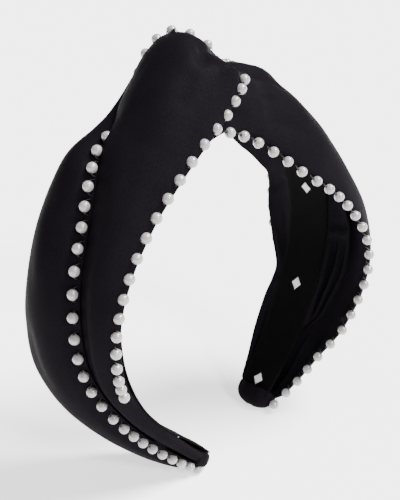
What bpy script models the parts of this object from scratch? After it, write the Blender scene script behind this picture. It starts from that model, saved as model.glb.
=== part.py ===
"""Knotted satin headband with pearl trim, standing on its two tips.

Lengths are in metres. X runs from the left leg to the right leg, Y from front to back and Z up.
A place on the band is given by three numbers: s, the distance along the inner arch from the crown
(negative on the left leg, positive on the right), y, the distance behind the middle of the band,
and h, the height above the inside face of the plastic band. u is s over the length of its leg.
"""
import math

import bmesh
import bpy
from mathutils import Matrix, Vector

MM = 0.001

# Driving dimensions of the arch, for the left leg (-1) and the right leg (1)
ARCH_HEIGHT = 135.5 * MM          # inside of the crown above the table
CROWN_RADIUS = {-1: 61.5 * MM, 1: 59.5 * MM}
CROWN_ANGLE = {-1: math.radians(126.5), 1: math.radians(106)}
LEG_RADIUS = {-1: 165 * MM, 1: 127 * MM}
TIP_TWIST = {-1: -7.5 * MM, 1: 3.5 * MM}    # the knot twists the left tip forward, the right one back
TIP_LINE = {-1: 4.0 * MM, 1: 2.7 * MM}      # height at which the inside line of a leg ends

# Layers, counted outwards from the inside face of the plastic band
GAP = 0.3 * MM
BAND_THICKNESS = 1.6 * MM
CROWN_HALF_WIDTH = 10.0 * MM
TIP_HALF_WIDTH = 6.4 * MM
LINING_THICKNESS = 1.2 * MM
LINING_MARGIN = 0.8 * MM        # the ribbon is this much wider than the band on each side
STRIP_THICKNESS = 3.6 * MM
STRIP_TAPER_START = 0.7           # share of a leg past which its strips get thinner
STRIP_TIP_LOSS = 0.45             # share of its thickness that a strip has lost at the tip
INNER_LAYER_THICKNESS = 1.8 * MM
INNER_LAYER_TOP = 3.0 * MM        # an inner layer lies no higher than this
INNER_LAYER_DROP = 0.8 * MM       # and this far under the strip
INNER_LAYER_INSET = {-1: 9 * MM, 1: 12 * MM}    # from the strip's overhanging edge, per leg
TIP_LENGTH = 4.5 * MM             # the satin folded over each end
TIP_LOW = -2.0 * MM
TIP_HIGH = 8.5 * MM
TIP_MARGIN = 1.4 * MM             # a tip fold is this much wider than the band on each side

# Foam
FOAM_MARGIN = 1.5 * MM            # the foam stops this far inside the band's edges
FOAM_CLEARANCE = 0.9 * MM         # between the foam's facets and the satin's
FOAM_LEAST = 0.5 * MM             # thickness where the satin lies right on the band
KNOT_PAD_HALF_WIDTH = 6 * MM      # the pad in the knot lies between the two loops
KNOT_PAD_END = -4 * MM

# Pearls
PEARL_RADIUS = 2.0 * MM
PEARL_PITCH = 7.0 * MM
THREAD_ANGLE = math.radians(12)     # the thread enters each pearl this far from its pole
PEARL_RING_ANGLES = (THREAD_ANGLE, math.radians(50), math.radians(90), math.radians(130),
                     math.pi - THREAD_ANGLE)
PEARL_SIDES = 6
PEARL_CLEARANCE = 0.8 * MM
EDGE_CLEARANCE = PEARL_RADIUS + PEARL_CLEARANCE     # from a pearl's centre to the edge beside it
SEAT_DROP = 1.7 * MM              # the back strip's edge lies this far below the middle pearls
SHELF_DROP = 3.0 * MM             # and the shelf under those pearls this far
SHELF_REACH = 1.5 * MM            # in front of the pearls, and behind them near the tip
HEM_OVERHANG = 3.8 * MM           # the outer strip's front edge lies this far outside its pearls
HINGE_PEARL_HEIGHT = 16 * MM      # height that an arm's first pearl must clear as it opens

# The arms spring open about an axis beside the knot
HINGE_ARC = 35 * MM
HINGE_HEIGHT = BAND_THICKNESS / 2
OPENING_ANGLE = math.radians(14.5)  # wedge left free above the hinge line

STATION_STEP = HINGE_ARC / 5
INNER_LAYER_START = HINGE_ARC + 8 * MM
INNER_LAYER_END = 0.9             # share of the arm, up to its tip fold, that has an inner layer
KNOT_END = 11 * MM                # the over loop dives into the crease of the under loop here
CROWN_FRONT_ROW_START = -9 * MM
PEARLED_FRONT_EDGE = 0.655        # share of the left leg that has pearls on its front edge
BARE_EDGE_BLEND = 0.06            # share of the leg over which the bare edge moves to its line

# Pearl rows and edges of the satin, as (u, y, h) in millimetres
FRONT_ROW_LEFT = ((-1, -8, 1.8), (-0.85, -9.6, 1.8), (-0.7, -10.8, 2.5), (-0.62, -11.3, 4.5),
                  (-0.5, -13, 4), (-0.4, -14.5, 2.5), (-0.3, -16.5, 2.3), (-0.2, -18, 3.5),
                  (-0.1, -16.5, 5.6), (-0.05, -14.6, 7.5), (0, -12.5, 14), (0.03, -7.5, 16.5),
                  (0.07, 1, 17.5))
MIDDLE_ROW_LEFT = ((-1, -6.2, 6.7), (-0.9, -3.8, 7.3), (-0.8, -1.5, 7.6), (-0.7, 1, 7.6),
                   (-0.6, 3, 8.6), (-0.5, 3.1, 9.3), (-0.4, 5, 9.2), (-0.345, 6.6, 9.2),
                   (-0.28, 8.8, 12.3), (-0.2, 12, 15))
KNOT_BACK_ROW = ((-0.2, 14, 11.5), (-0.15, 19, 12), (-0.1, 22, 15), (-0.05, 23, 22), (0, 24, 27.5),
                 (0.03, 22, 26.5), (0.06, 14, 21.8), (0.09, 6, 19))
BACK_EDGE_LEFT = ((-1, 8, 3), (-0.93, 15, 4), (-0.85, 24, 6), (-0.75, 32, 7), (-0.65, 34, 7),
                  (-0.55, 32, 6), (-0.45, 30, 6), (-0.3, 30, 6), (-0.19, 30, 6.5), (-0.1, 29, 8),
                  (-0.05, 25, 9.5), (0, 17.1, 10))
UNDER_LOOP_FRONT_EDGE = ((-0.2, -8, 5.5), (-0.06, -9, 5.5), (0, -12.6, 0))
FRONT_ROW_RIGHT = ((-0.05, -13.4, 0.5), (0, -13.4, -3.8), (0.05, -14.1, -7.6), (0.1, -16, -10.8),
                   (0.18, -21, -14.5), (0.25, -25, -15), (0.38, -30, -11.7), (0.5, -34, -7),
                   (0.6, -34, -3.7), (0.75, -29, -2), (0.83, -23, -2.3), (0.9, -17.7, 0),
                   (1, -8.5, 3.8))
BACK_ROW_RIGHT = ((0, 20, 9), (0.12, 22, 5.5), (0.3, 22, 3.5), (0.5, 22, 3.2), (0.6, 20, 3.5),
                  (0.7, 16.5, 4), (0.85, 15, 4.5), (1, 8.5, 4.5))
# Rise of a strip's middle above the straight line between its edges, as (u, height)
FRONT_STRIP_RISE = ((-1, 1), (-0.8, 2), (-0.6, 3), (-0.4, 5), (-0.2, 9))
BACK_STRIP_RISE = ((-1, 1), (-0.9, 3), (-0.75, 6), (-0.5, 6), (-0.2, 6))
OUTER_STRIP_RISE = ((-0.2, 3.5), (-0.1, 5), (0, 12), (0.05, 12), (0.09, 12.5), (0.14, 13),
                    (0.2, 13.5), (0.3, 14.5), (0.45, 15), (0.6, 13), (0.8, 9.5), (0.92, 5), (1, 1))
KNOT_RISE = ((-0.2, 9), (-0.15, 13), (-0.1, 16), (-0.05, 14.5), (0, 4), (0.03, 0), (0.07, -0.5))


def remove_everything():
    for obj in list(bpy.data.objects):
        bpy.data.objects.remove(obj, do_unlink=True)


# ---------------------------------------------------------------- the arch and its coordinates

def leg_end_angle(side):
    radius = CROWN_RADIUS[side]
    knee = ARCH_HEIGHT - radius * (1 - math.cos(CROWN_ANGLE[side]))
    return math.acos(math.cos(CROWN_ANGLE[side]) - (knee - TIP_LINE[side]) / LEG_RADIUS[side])


def leg_length(side):
    return (CROWN_RADIUS[side] * CROWN_ANGLE[side]
            + LEG_RADIUS[side] * (leg_end_angle(side) - CROWN_ANGLE[side]))


def band_point(s, y, h):
    """World position of a place on the band."""
    side = 1 if s >= 0 else -1
    along = abs(s)
    crown = CROWN_RADIUS[side]
    knee = CROWN_ANGLE[side]
    if along <= crown * knee:
        angle = along / crown
        x = crown * math.sin(angle)
        z = ARCH_HEIGHT - crown * (1 - math.cos(angle))
    else:
        leg = LEG_RADIUS[side]
        angle = knee + (along - crown * knee) / leg
        x = crown * math.sin(knee) + leg * (math.sin(angle) - math.sin(knee))
        z = ARCH_HEIGHT - crown * (1 - math.cos(knee)) - leg * (math.cos(knee) - math.cos(angle))
    twist = TIP_TWIST[side] * (along / leg_length(side)) ** 2
    return Vector((side * (x + math.sin(angle) * h), y + twist, z + math.cos(angle) * h))


def smooth_value(table, u, column):
    """A table's column at u in metres, on a smooth curve through its rows."""
    if u <= table[0][0]:
        return table[0][column] * MM
    if u >= table[-1][0]:
        return table[-1][column] * MM
    i = max(k for k in range(len(table) - 1) if table[k][0] <= u)

    def slope(k):
        before = table[max(k - 1, 0)]
        after = table[min(k + 1, len(table) - 1)]
        return (after[column] - before[column]) / (after[0] - before[0])

    width = table[i + 1][0] - table[i][0]
    t = (u - table[i][0]) / width
    start = (2 * t ** 3 - 3 * t ** 2 + 1) * table[i][column] + (t ** 3 - 2 * t ** 2 + t) * width * slope(i)
    end = (3 * t ** 2 - 2 * t ** 3) * table[i + 1][column] + (t ** 3 - t ** 2) * width * slope(i + 1)
    return (start + end) * MM


def share_of_leg(s):
    return s / leg_length(1 if s >= 0 else -1)


def row_place(table, s):
    u = share_of_leg(s)
    return smooth_value(table, u, 1), smooth_value(table, u, 2)


def band_half_width(s):
    return CROWN_HALF_WIDTH + (TIP_HALF_WIDTH - CROWN_HALF_WIDTH) * share_of_leg(s) ** 2


def hinge_shift(h):
    """How far past the hinge an arm's piece starts at height h, so that the arm can swing out."""
    above = max(h - HINGE_HEIGHT, 0)
    return (GAP + above * math.tan(OPENING_ANGLE)) / (1 + h / CROWN_RADIUS[1])


# ---------------------------------------------------------------- solids

def new_object(name, bm, material):
    bmesh.ops.recalc_face_normals(bm, faces=bm.faces)
    mesh = bpy.data.meshes.new(name)
    bm.to_mesh(mesh)
    bm.free()
    mesh.materials.append(material)
    mesh.shade_smooth()
    mesh.set_sharp_from_angle(angle=math.radians(40))
    obj = bpy.data.objects.new(name, mesh)
    bpy.context.scene.collection.objects.link(obj)
    return obj


def loft(rings):
    """Closed solid through a list of rings with equal numbers of points."""
    bm = bmesh.new()
    loops = [[bm.verts.new(point) for point in ring] for ring in rings]
    for first, second in zip(loops, loops[1:]):
        for k in range(len(first)):
            following = (k + 1) % len(first)
            bm.faces.new((first[k], first[following], second[following], second[k]))
    bm.faces.new(loops[0])
    bm.faces.new(loops[-1])
    bmesh.ops.triangulate(bm, faces=[f for f in bm.faces if len(f.verts) > 4])
    return bm


def stations(start, end):
    """Places of the sections between two ends, on one grid so that the layers stay parallel."""
    side = 1 if end > start else -1
    first = math.floor(min(start, end) / STATION_STEP)
    last = math.ceil(max(start, end) / STATION_STEP)
    grid = [k * STATION_STEP for k in range(first, last + 1)]
    room = 0.25 * STATION_STEP
    inner = [s for s in grid if min(start, end) + room < s < max(start, end) - room]
    return [start] + inner[::side] + [end]


def swept_solid(name, material, start, end, section, at_hinge=False):
    """Loft of section(s), a closed list of (y, h), along the band.

    With at_hinge, the end at start leans away from the hinge as it rises."""
    side = 1 if end > start else -1
    rings = []
    for k, s in enumerate(stations(start, end)):
        lean = 1 if at_hinge and k == 0 else 0
        rings.append([band_point(s + lean * side * hinge_shift(h), y, h) for y, h in section(s)])
    return new_object(name, loft(rings), material)


def flat_section(half_width, low, high):
    return [(-half_width, low), (half_width, low), (half_width, high), (-half_width, high)]


def strip_section(edge_a, edge_b, rise, thickness, points=9):
    """Lens of padded satin between two edges: its upper side, then its lower side backwards."""
    width = math.dist(edge_a, edge_b)
    along = ((edge_b[0] - edge_a[0]) / width, (edge_b[1] - edge_a[1]) / width)
    out = (-along[1], along[0]) if along[0] > 0 else (along[1], -along[0])
    upper = []
    lower = []
    for k in range(points):
        t = (1 - math.cos(math.pi * k / (points - 1))) / 2
        swell = math.sin(math.pi * t) ** 0.6 if 0 < k < points - 1 else 0
        depth = thickness * (0.3 + 0.7 * swell)
        y = edge_a[0] + along[0] * width * t + out[0] * rise * swell
        h = edge_a[1] + along[1] * width * t + out[1] * rise * swell
        upper.append((y, h))
        lower.append((y - out[0] * depth, h - out[1] * depth))
    return upper + lower[::-1]


def beside_pearl(pearl, towards, clearance=EDGE_CLEARANCE):
    """Edge of a strip that stops short of a pearl's centre, on the side of another point."""
    reach = clearance / math.dist(pearl, towards)
    return tuple(p + (q - p) * reach for p, q in zip(pearl, towards))


def upper_side(section, y):
    """Height of a strip section's upper side at y, or None beyond its edges."""
    return side_height(section[:len(section) // 2], y)


def underside(section, y):
    """Height of a strip section's lower side at y, or None beyond its edges."""
    return side_height(section[len(section) // 2:], y)


def side_height(points, y):
    side = sorted(points)
    for (y0, h0), (y1, h1) in zip(side, side[1:]):
        if y0 <= y <= y1:
            return h0 + (h1 - h0) * (y - y0) / (y1 - y0)
    return None


def strand(name, material, places):
    """Pearls on their thread, as one closed body along a list of pearl centres."""
    rings = []
    for k, centre in enumerate(places):
        before = places[max(k - 1, 0)]
        after = places[min(k + 1, len(places) - 1)]
        along = (after - before).normalized()
        across = along.cross(Vector((0, 1, 0.35))).normalized()
        other = along.cross(across)
        for angle in PEARL_RING_ANGLES:
            middle = centre - along * PEARL_RADIUS * math.cos(angle)
            radius = PEARL_RADIUS * math.sin(angle)
            turns = [math.tau * j / PEARL_SIDES for j in range(PEARL_SIDES)]
            rings.append([middle + (across * math.cos(a) + other * math.sin(a)) * radius for a in turns])
    return new_object(name, loft(rings), material)


def pearl_row(name, material, table, start, end):
    """Strand along a table's row, with a pearl every PEARL_PITCH from s = start to s = end."""
    steps = 600
    places = []
    walked = PEARL_PITCH
    previous = band_point(start, *row_place(table, start))
    for k in range(steps + 1):
        s = start + (end - start) * k / steps
        place = band_point(s, *row_place(table, s))
        walked += (place - previous).length
        previous = place
        if walked >= PEARL_PITCH:
            places.append(place)
            walked -= PEARL_PITCH
    return strand(name, material, places)


def settle(objects):
    """Stand the part on the table, centred, with every object's origin on the pivot of its group."""
    points = [obj.matrix_world @ vertex.co for obj in objects for vertex in obj.data.vertices]
    low = Vector([min(point[k] for point in points) for k in range(3)])
    high = Vector([max(point[k] for point in points) for k in range(3)])
    shift = Vector((-(low.x + high.x) / 2, -(low.y + high.y) / 2, -low.z))
    for obj in objects:
        if obj.name.startswith("left_"):
            pivot = band_point(-HINGE_ARC, 0, HINGE_HEIGHT)
        elif obj.name.startswith("right_"):
            pivot = band_point(HINGE_ARC, 0, HINGE_HEIGHT)
        else:
            pivot = band_point(0, 0, 0)
        obj.data.transform(Matrix.Translation(-pivot))
        obj.location = pivot + shift


# ---------------------------------------------------------------- materials

def plain_material(name, colour, roughness):
    material = bpy.data.materials.new(name)
    material.use_nodes = True
    shader = material.node_tree.nodes["Principled BSDF"]
    shader.inputs["Base Color"].default_value = (*colour, 1)
    shader.inputs["Roughness"].default_value = roughness
    shader.inputs["Metallic"].default_value = 0
    return material


# ---------------------------------------------------------------- band, ribbon and foam

def plastic_band(name, material, start, end, at_hinge):
    def section(s):
        return flat_section(band_half_width(s), 0, BAND_THICKNESS)
    return swept_solid(name, material, start, end, section, at_hinge)


def ribbon(name, material, start, end, at_hinge):
    def section(s):
        return flat_section(band_half_width(s) + LINING_MARGIN, -GAP - LINING_THICKNESS, -GAP)
    return swept_solid(name, material, start, end, section, at_hinge)


def foam_pad(name, material, start, end, covers, at_hinge=False, floor=None):
    """Foam domed up to just under the satin sections in covers, on the band or on a satin floor."""
    base = BAND_THICKNESS + GAP

    def section(s):
        half = KNOT_PAD_HALF_WIDTH if floor is not None else band_half_width(s) - FOAM_MARGIN
        step = half / 5
        top = []
        bottom = []
        for k in range(11):
            y = half - step * k
            around = [y + step * d for d in (-1, -0.5, 0, 0.5, 1)]
            low = base
            if floor is not None:
                low = max(upper_side(floor(s), place) for place in around) + FOAM_CLEARANCE
            roofs = [underside(cover(s), place) for cover in covers for place in around]
            roofs = [roof for roof in roofs if roof is not None]
            bottom.append((y, low))
            roof = min(roofs) - FOAM_CLEARANCE if roofs else low
            top.append((y, max(low + FOAM_LEAST, roof)))
        return top + bottom[::-1]
    return swept_solid(name, material, start, end, section, at_hinge)


# ---------------------------------------------------------------- sections of the satin strips

def strip_taper(s):
    """Thickness of a strip: full along most of a leg, then thinner towards the tip."""
    past = max(abs(share_of_leg(s)) - STRIP_TAPER_START, 0) / (1 - STRIP_TAPER_START)
    return STRIP_THICKNESS * (1 - STRIP_TIP_LOSS * past)


def front_strip(s):
    front = row_place(FRONT_ROW_LEFT, s)
    middle = row_place(MIDDLE_ROW_LEFT, s)
    bare = (-share_of_leg(s) - PEARLED_FRONT_EDGE) / BARE_EDGE_BLEND
    clearance = EDGE_CLEARANCE * (1 - min(max(bare, 0), 1))
    rise = smooth_value(FRONT_STRIP_RISE, share_of_leg(s), 1)
    return strip_section(beside_pearl(front, middle, clearance), beside_pearl(middle, front), rise,
                         strip_taper(s))


def back_strip(s):
    """Strip behind the middle pearls, with a shelf that carries them."""
    middle_y, middle_h = row_place(MIDDLE_ROW_LEFT, s)
    edge = row_place(BACK_EDGE_LEFT, s)
    rise = smooth_value(BACK_STRIP_RISE, share_of_leg(s), 1)
    seat = (middle_y + EDGE_CLEARANCE, middle_h - SEAT_DROP)
    lens = strip_section(seat, edge, rise, strip_taper(s), 8)
    near_tip = min(max((-share_of_leg(s) - STRIP_TAPER_START) / 0.2, 0), 1)
    shelf_y = middle_y + SHELF_REACH * (2 * near_tip - 1)
    shelf_h = middle_h - SHELF_DROP
    return [(shelf_y, shelf_h)] + lens + [(shelf_y, shelf_h - 0.3 * strip_taper(s))]


def outer_strip(s):
    """The right leg's strip, and the under loop it becomes where it crosses the crown."""
    rise = smooth_value(OUTER_STRIP_RISE, share_of_leg(s), 1)
    if s < 0:
        return strip_section(row_place(BACK_EDGE_LEFT, s), row_place(UNDER_LOOP_FRONT_EDGE, s), rise,
                             STRIP_THICKNESS)
    back_y, back_h = row_place(BACK_ROW_RIGHT, s)
    front_y, front_h = row_place(FRONT_ROW_RIGHT, s)
    seat = (back_y - EDGE_CLEARANCE, back_h + 1 * MM)
    hem = (front_y + PEARL_CLEARANCE, front_h + HEM_OVERHANG)
    return strip_section(seat, hem, rise, strip_taper(s))


def over_loop(s):
    front = row_place(FRONT_ROW_LEFT, s)
    back = row_place(KNOT_BACK_ROW, s)
    rise = smooth_value(KNOT_RISE, share_of_leg(s), 1)
    lift = 0.5 * MM
    front_y, front_h = beside_pearl(front, back)
    back_y, back_h = beside_pearl(back, front, EDGE_CLEARANCE + lift)
    return strip_section((front_y, front_h + lift), (back_y, back_h + lift), rise, STRIP_THICKNESS)


def inner_layer(edge_table, cover, inset):
    """Layer of satin between the band's edge and a strip's overhanging edge, under the strip."""
    least_width = 3 * MM

    def section(s):
        edge_y = row_place(edge_table, s)[0]
        way = 1 if edge_y > 0 else -1
        start = band_half_width(s) + LINING_MARGIN + 2 * GAP
        end = max(abs(edge_y) - inset, start + least_width)
        upper = []
        lower = []
        for k in range(5):
            y = way * (start + (end - start) * k / 4)
            roof = underside(cover(s), y)
            top = min(roof - INNER_LAYER_DROP, INNER_LAYER_TOP) if roof is not None else 0
            upper.append((y, top))
            lower.append((y, top - INNER_LAYER_THICKNESS))
        return upper + lower[::-1]
    return section


# ---------------------------------------------------------------- tips

def squared(value):
    """Coordinate of a circle pushed out towards a square with round corners."""
    return math.copysign(abs(value) ** 0.6, value)


def tip_fold(name, material, side):
    """Satin folded over a leg's end: a rounded block, cut flat where it stands on the table."""
    start = leg_length(side) - TIP_LENGTH + GAP
    half_width = TIP_HALF_WIDTH + TIP_MARGIN
    half_height = (TIP_HIGH - TIP_LOW) / 2
    middle = (TIP_HIGH + TIP_LOW) / 2
    rings = []
    for k in range(6):
        t = k / 5 * 0.96
        shrink = math.sqrt(1 - t ** 3)
        ring = []
        for j in range(12):
            turn = math.tau * j / 12
            y = half_width * shrink * squared(math.cos(turn))
            h = middle + half_height * shrink * squared(math.sin(turn))
            ring.append(band_point(side * (start + TIP_LENGTH * t), y, h))
        rings.append(ring)
    bm = loft(rings)
    everything = bm.verts[:] + bm.edges[:] + bm.faces[:]
    cut = bmesh.ops.bisect_plane(bm, geom=everything, plane_co=(0, 0, 0), plane_no=(0, 0, -1),
                                 clear_outer=True)
    rim = [item for item in cut["geom_cut"] if isinstance(item, bmesh.types.BMEdge)]
    bmesh.ops.contextual_create(bm, geom=rim)
    return new_object(name, bm, material)


def main():
    remove_everything()
    satin = plain_material("black_satin", (0.012, 0.011, 0.014), 0.38)
    velvet = plain_material("black_velvet", (0.006, 0.006, 0.007), 0.9)
    plastic = plain_material("black_plastic", (0.02, 0.02, 0.02), 0.45)
    foam = plain_material("grey_foam", (0.25, 0.25, 0.26), 0.95)
    pearl = plain_material("pearl", (0.82, 0.81, 0.8), 0.22)

    hinge = HINGE_ARC
    left = TIP_LENGTH - leg_length(-1)
    right = leg_length(1) - TIP_LENGTH

    for piece, material, build in (("band", plastic, plastic_band), ("lining", velvet, ribbon)):
        build("crown_" + piece, material, -hinge, hinge, False)
        build("left_" + piece, material, -hinge, left, True)
        build("right_" + piece, material, hinge, right, True)

    foam_pad("left_foam_pad", foam, -hinge, left, (front_strip, back_strip), True)
    foam_pad("right_foam_pad", foam, hinge, right, (outer_strip,), True)
    foam_pad("crown_foam_pad", foam, -hinge, hinge, (outer_strip,))
    foam_pad("knot_foam_pad", foam, -hinge, KNOT_PAD_END, (over_loop,), floor=outer_strip)

    swept_solid("knot_over_loop", satin, -hinge, KNOT_END, over_loop)
    swept_solid("knot_under_loop", satin, -hinge, hinge, outer_strip)
    swept_solid("left_front_strip", satin, -hinge, left, front_strip, True)
    swept_solid("left_back_strip", satin, -hinge, left, back_strip, True)
    swept_solid("right_outer_strip", satin, hinge, right, outer_strip, True)
    swept_solid("left_inner_layer", satin, -INNER_LAYER_START, INNER_LAYER_END * left,
                inner_layer(BACK_EDGE_LEFT, back_strip, INNER_LAYER_INSET[-1]))
    swept_solid("right_inner_layer", satin, INNER_LAYER_START, INNER_LAYER_END * right,
                inner_layer(FRONT_ROW_RIGHT, outer_strip, INNER_LAYER_INSET[1]))
    tip_fold("left_tip_fold", satin, -1)
    tip_fold("right_tip_fold", satin, 1)

    beside = EDGE_CLEARANCE
    beyond = hinge_shift(HINGE_PEARL_HEIGHT) + PEARL_RADIUS
    pearl_row("knot_front_pearls", pearl, FRONT_ROW_LEFT, -hinge + beside, KNOT_END)
    pearl_row("knot_back_pearls", pearl, KNOT_BACK_ROW, -hinge + beside, KNOT_END + 2 * MM)
    pearl_row("crown_front_pearls", pearl, FRONT_ROW_RIGHT, CROWN_FRONT_ROW_START, hinge - beside)
    pearl_row("crown_back_pearls", pearl, BACK_ROW_RIGHT, KNOT_END, hinge - beside)
    pearl_row("left_front_pearls", pearl, FRONT_ROW_LEFT, -hinge - beyond,
              -PEARLED_FRONT_EDGE * leg_length(-1))
    pearl_row("left_middle_pearls", pearl, MIDDLE_ROW_LEFT, -hinge - beyond, left + beside)
    pearl_row("right_front_pearls", pearl, FRONT_ROW_RIGHT, hinge + beyond, right)
    pearl_row("right_back_pearls", pearl, BACK_ROW_RIGHT, hinge + beyond, right - beside)

    bpy.context.view_layer.update()
    settle(list(bpy.context.scene.objects))


main()
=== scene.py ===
"""Looks of a knotted black satin headband with pearl trim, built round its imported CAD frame.

A place on the band is given by s, the distance along the inner arch from the crown (negative on the
left leg), y, the distance behind the middle of the band, and h, the height above the inside face of
the plastic band. u is s over the length of its leg. t runs across a strip of satin from its first
edge to its second. s is in metres unless a function says otherwise. y, h and the sizes of the satin,
ribbon and folds are in millimetres. A span is the pair of values between which something sets in.
"""
import math

import bmesh
import bpy
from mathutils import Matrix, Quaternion, Vector, noise


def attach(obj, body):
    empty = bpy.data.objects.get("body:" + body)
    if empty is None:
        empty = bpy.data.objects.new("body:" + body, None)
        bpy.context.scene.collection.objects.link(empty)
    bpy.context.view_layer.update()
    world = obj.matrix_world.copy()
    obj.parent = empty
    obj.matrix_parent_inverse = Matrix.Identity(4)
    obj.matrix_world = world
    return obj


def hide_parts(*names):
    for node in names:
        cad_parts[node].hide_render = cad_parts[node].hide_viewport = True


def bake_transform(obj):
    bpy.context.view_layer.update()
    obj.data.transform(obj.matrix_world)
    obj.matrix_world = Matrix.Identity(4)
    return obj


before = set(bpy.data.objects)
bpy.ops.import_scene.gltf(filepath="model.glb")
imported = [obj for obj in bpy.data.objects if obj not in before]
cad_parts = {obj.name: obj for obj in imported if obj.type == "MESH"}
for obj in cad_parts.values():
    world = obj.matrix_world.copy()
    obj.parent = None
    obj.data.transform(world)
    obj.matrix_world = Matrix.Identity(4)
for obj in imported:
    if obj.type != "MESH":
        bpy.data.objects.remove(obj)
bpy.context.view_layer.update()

MM = 0.001
STAND_SHIFT = Vector((-0.19, 2.17, 0)) * MM     # the part is centred on the table

# The arch, as in the CAD part
ARCH_HEIGHT = 135.5 * MM
CROWN_RADIUS = {-1: 61.5 * MM, 1: 59.5 * MM}
CROWN_ANGLE = {-1: math.radians(126.5), 1: math.radians(106)}
LEG_RADIUS = {-1: 165 * MM, 1: 127 * MM}
TIP_TWIST = {-1: -7.5 * MM, 1: 3.5 * MM}
TIP_LINE = {-1: 4.0 * MM, 1: 2.7 * MM}
CROWN_HALF_WIDTH = 10.0         # of the plastic band, in millimetres
TIP_HALF_WIDTH = 6.4

PEARL_RADIUS = 2.0 * MM

# Spans of u beside the knot
KNOT_ROW_SPAN = (-0.2, -0.13)
KNOT_BULGE_START = (-0.22, -0.16)
KNOT_BULGE_END = (-0.1, -0.03)
BULGE_PULL = (2.4, 1.2)         # how far the bulge hides the back row: across the wrap and below it

# Pearl rows and satin edges as (u, y, h)
FRONT_ROW_LEFT = ((-1, -8, 1.8), (-0.85, -9.6, 1.8), (-0.7, -9.6, 2.5), (-0.63, -10.4, 4.2),
                  (-0.5, -13, 4), (-0.4, -14.5, 2.5), (-0.3, -16.5, 2.3), (-0.2, -18, 3.5),
                  (-0.1, -16.5, 5.6), (-0.05, -14.6, 7.5), (0, -12.5, 14), (0.03, -7.5, 16.5),
                  (0.07, 1, 17.5))
MIDDLE_ROW_LEFT = ((-1, -6.2, 6.7), (-0.9, -3.8, 7.3), (-0.8, -1.5, 7.6), (-0.7, 1, 7.6),
                   (-0.6, 3, 8.6), (-0.5, 3.1, 9.3), (-0.4, 5, 9.2), (-0.345, 6.6, 9.2),
                   (-0.28, 8.8, 12), (-0.22, 13, 13.2), (-0.19, 14.5, 13))
KNOT_BACK_ROW = ((-0.2, 14, 11.5), (-0.15, 19, 12), (-0.1, 22, 15), (-0.05, 24, 22), (0, 24.5, 27.5),
                 (0.03, 22, 27), (0.06, 14, 21.8), (0.09, 6, 19))
BACK_EDGE_LEFT = ((-1, 9, 3), (-0.93, 18.8, 4.2), (-0.85, 27.2, 6), (-0.75, 34.3, 7.3),
                  (-0.65, 35.8, 7.3), (-0.55, 33.6, 6.3), (-0.45, 31.2, 6.2), (-0.3, 31, 6.2),
                  (-0.24, 30.2, 6.2), (-0.19, 28.2, 6.2), (-0.1, 25.3, 7),
                  (-0.05, 23, 8.5), (0, 17.1, 10))
UNDER_LOOP_FRONT_EDGE = ((-0.2, -8, 5.5), (-0.12, -11, 3.5), (-0.05, -12.6, 1), (0, -12.4, -2.5))
FRONT_ROW_RIGHT = ((-0.05, -13.4, 0.5), (0, -13.4, -3.8), (0.05, -14.1, -7.6), (0.1, -16, -10.8),
                   (0.18, -21, -14.5), (0.25, -25, -15), (0.38, -30, -11.7), (0.5, -34, -7),
                   (0.6, -34, -3.7), (0.75, -29, -2), (0.83, -23, -2.3), (0.9, -17.7, 0),
                   (1, -8.5, 3.8))
BACK_ROW_RIGHT = ((0.06, 10, 16.8), (0.1, 14.5, 16.8), (0.14, 18, 16), (0.18, 21, 12),
                  (0.23, 22.5, 6), (0.3, 22, 3.5), (0.4, 21.7, 3.2), (0.5, 23, 2.8), (0.58, 20.5, 2.8),
                  (0.66, 12.5, 5), (0.74, 13, 5.2), (0.82, 12.5, 5.2), (0.9, 9.5, 5.2), (1, 5.5, 5))
# Turned edge of the outer wrap behind those pearls
BACK_EDGE_RIGHT = ((0, 19, 9.5), (0.06, 21, 6), (0.13, 22.5, 0), (0.2, 22, -6.5), (0.27, 21.5, -7.5),
                   (0.32, 21, -6), (0.37, 20.3, -4), (0.41, 20, -1.5), (0.45, 21.2, -0.5),
                   (0.51, 22.4, -0.3), (0.59, 18.8, -0.2), (0.655, 13.4, -0.2), (0.69, 13.4, -0.2),
                   (0.74, 14.7, 0), (0.82, 14, 0), (0.9, 10.9, 0), (0.98, 7.5, 0))
# Free edge of the satin layer inside the right leg
LEAF_EDGE_RIGHT = ((0.3, -14, -1.5), (0.42, -15, 0), (0.5, -19.6, 0), (0.57, -21, 0), (0.62, -21.2, 0),
                   (0.69, -18.5, 0), (0.73, -16.4, 0), (0.78, -11, 0.5))
# Rise of a strip's middle above the straight line between its edges, as (u, rise)
FRONT_WRAP_RISE = ((-1, 1), (-0.8, 2), (-0.6, 3), (-0.4, 5), (-0.2, 9), (-0.15, 13), (-0.1, 16.2),
                   (-0.05, 16.7), (-0.02, 12.8), (0, 8), (0.03, 2.5), (0.07, -0.5))
BACK_WRAP_RISE = ((-1, 3.5), (-0.95, 6), (-0.9, 6.8), (-0.85, 7), (-0.75, 7), (-0.5, 6), (-0.2, 6))
OUTER_WRAP_RISE = ((-0.2, 3.5), (-0.1, 5), (0, 7), (0.05, 7), (0.1, 7.5), (0.14, 9.5), (0.2, 13.5),
                   (0.25, 14.6), (0.3, 13.8), (0.38, 12.8), (0.45, 13.2), (0.6, 13), (0.8, 9.5),
                   (0.92, 5), (1, 1))


# ---------------------------------------------------------------- the arch and its coordinates

def leg_end_angle(side):
    """Angle from the vertical of the arch's normal at a leg's end."""
    radius = CROWN_RADIUS[side]
    knee = ARCH_HEIGHT - radius * (1 - math.cos(CROWN_ANGLE[side]))
    return math.acos(math.cos(CROWN_ANGLE[side]) - (knee - TIP_LINE[side]) / LEG_RADIUS[side])


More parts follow.
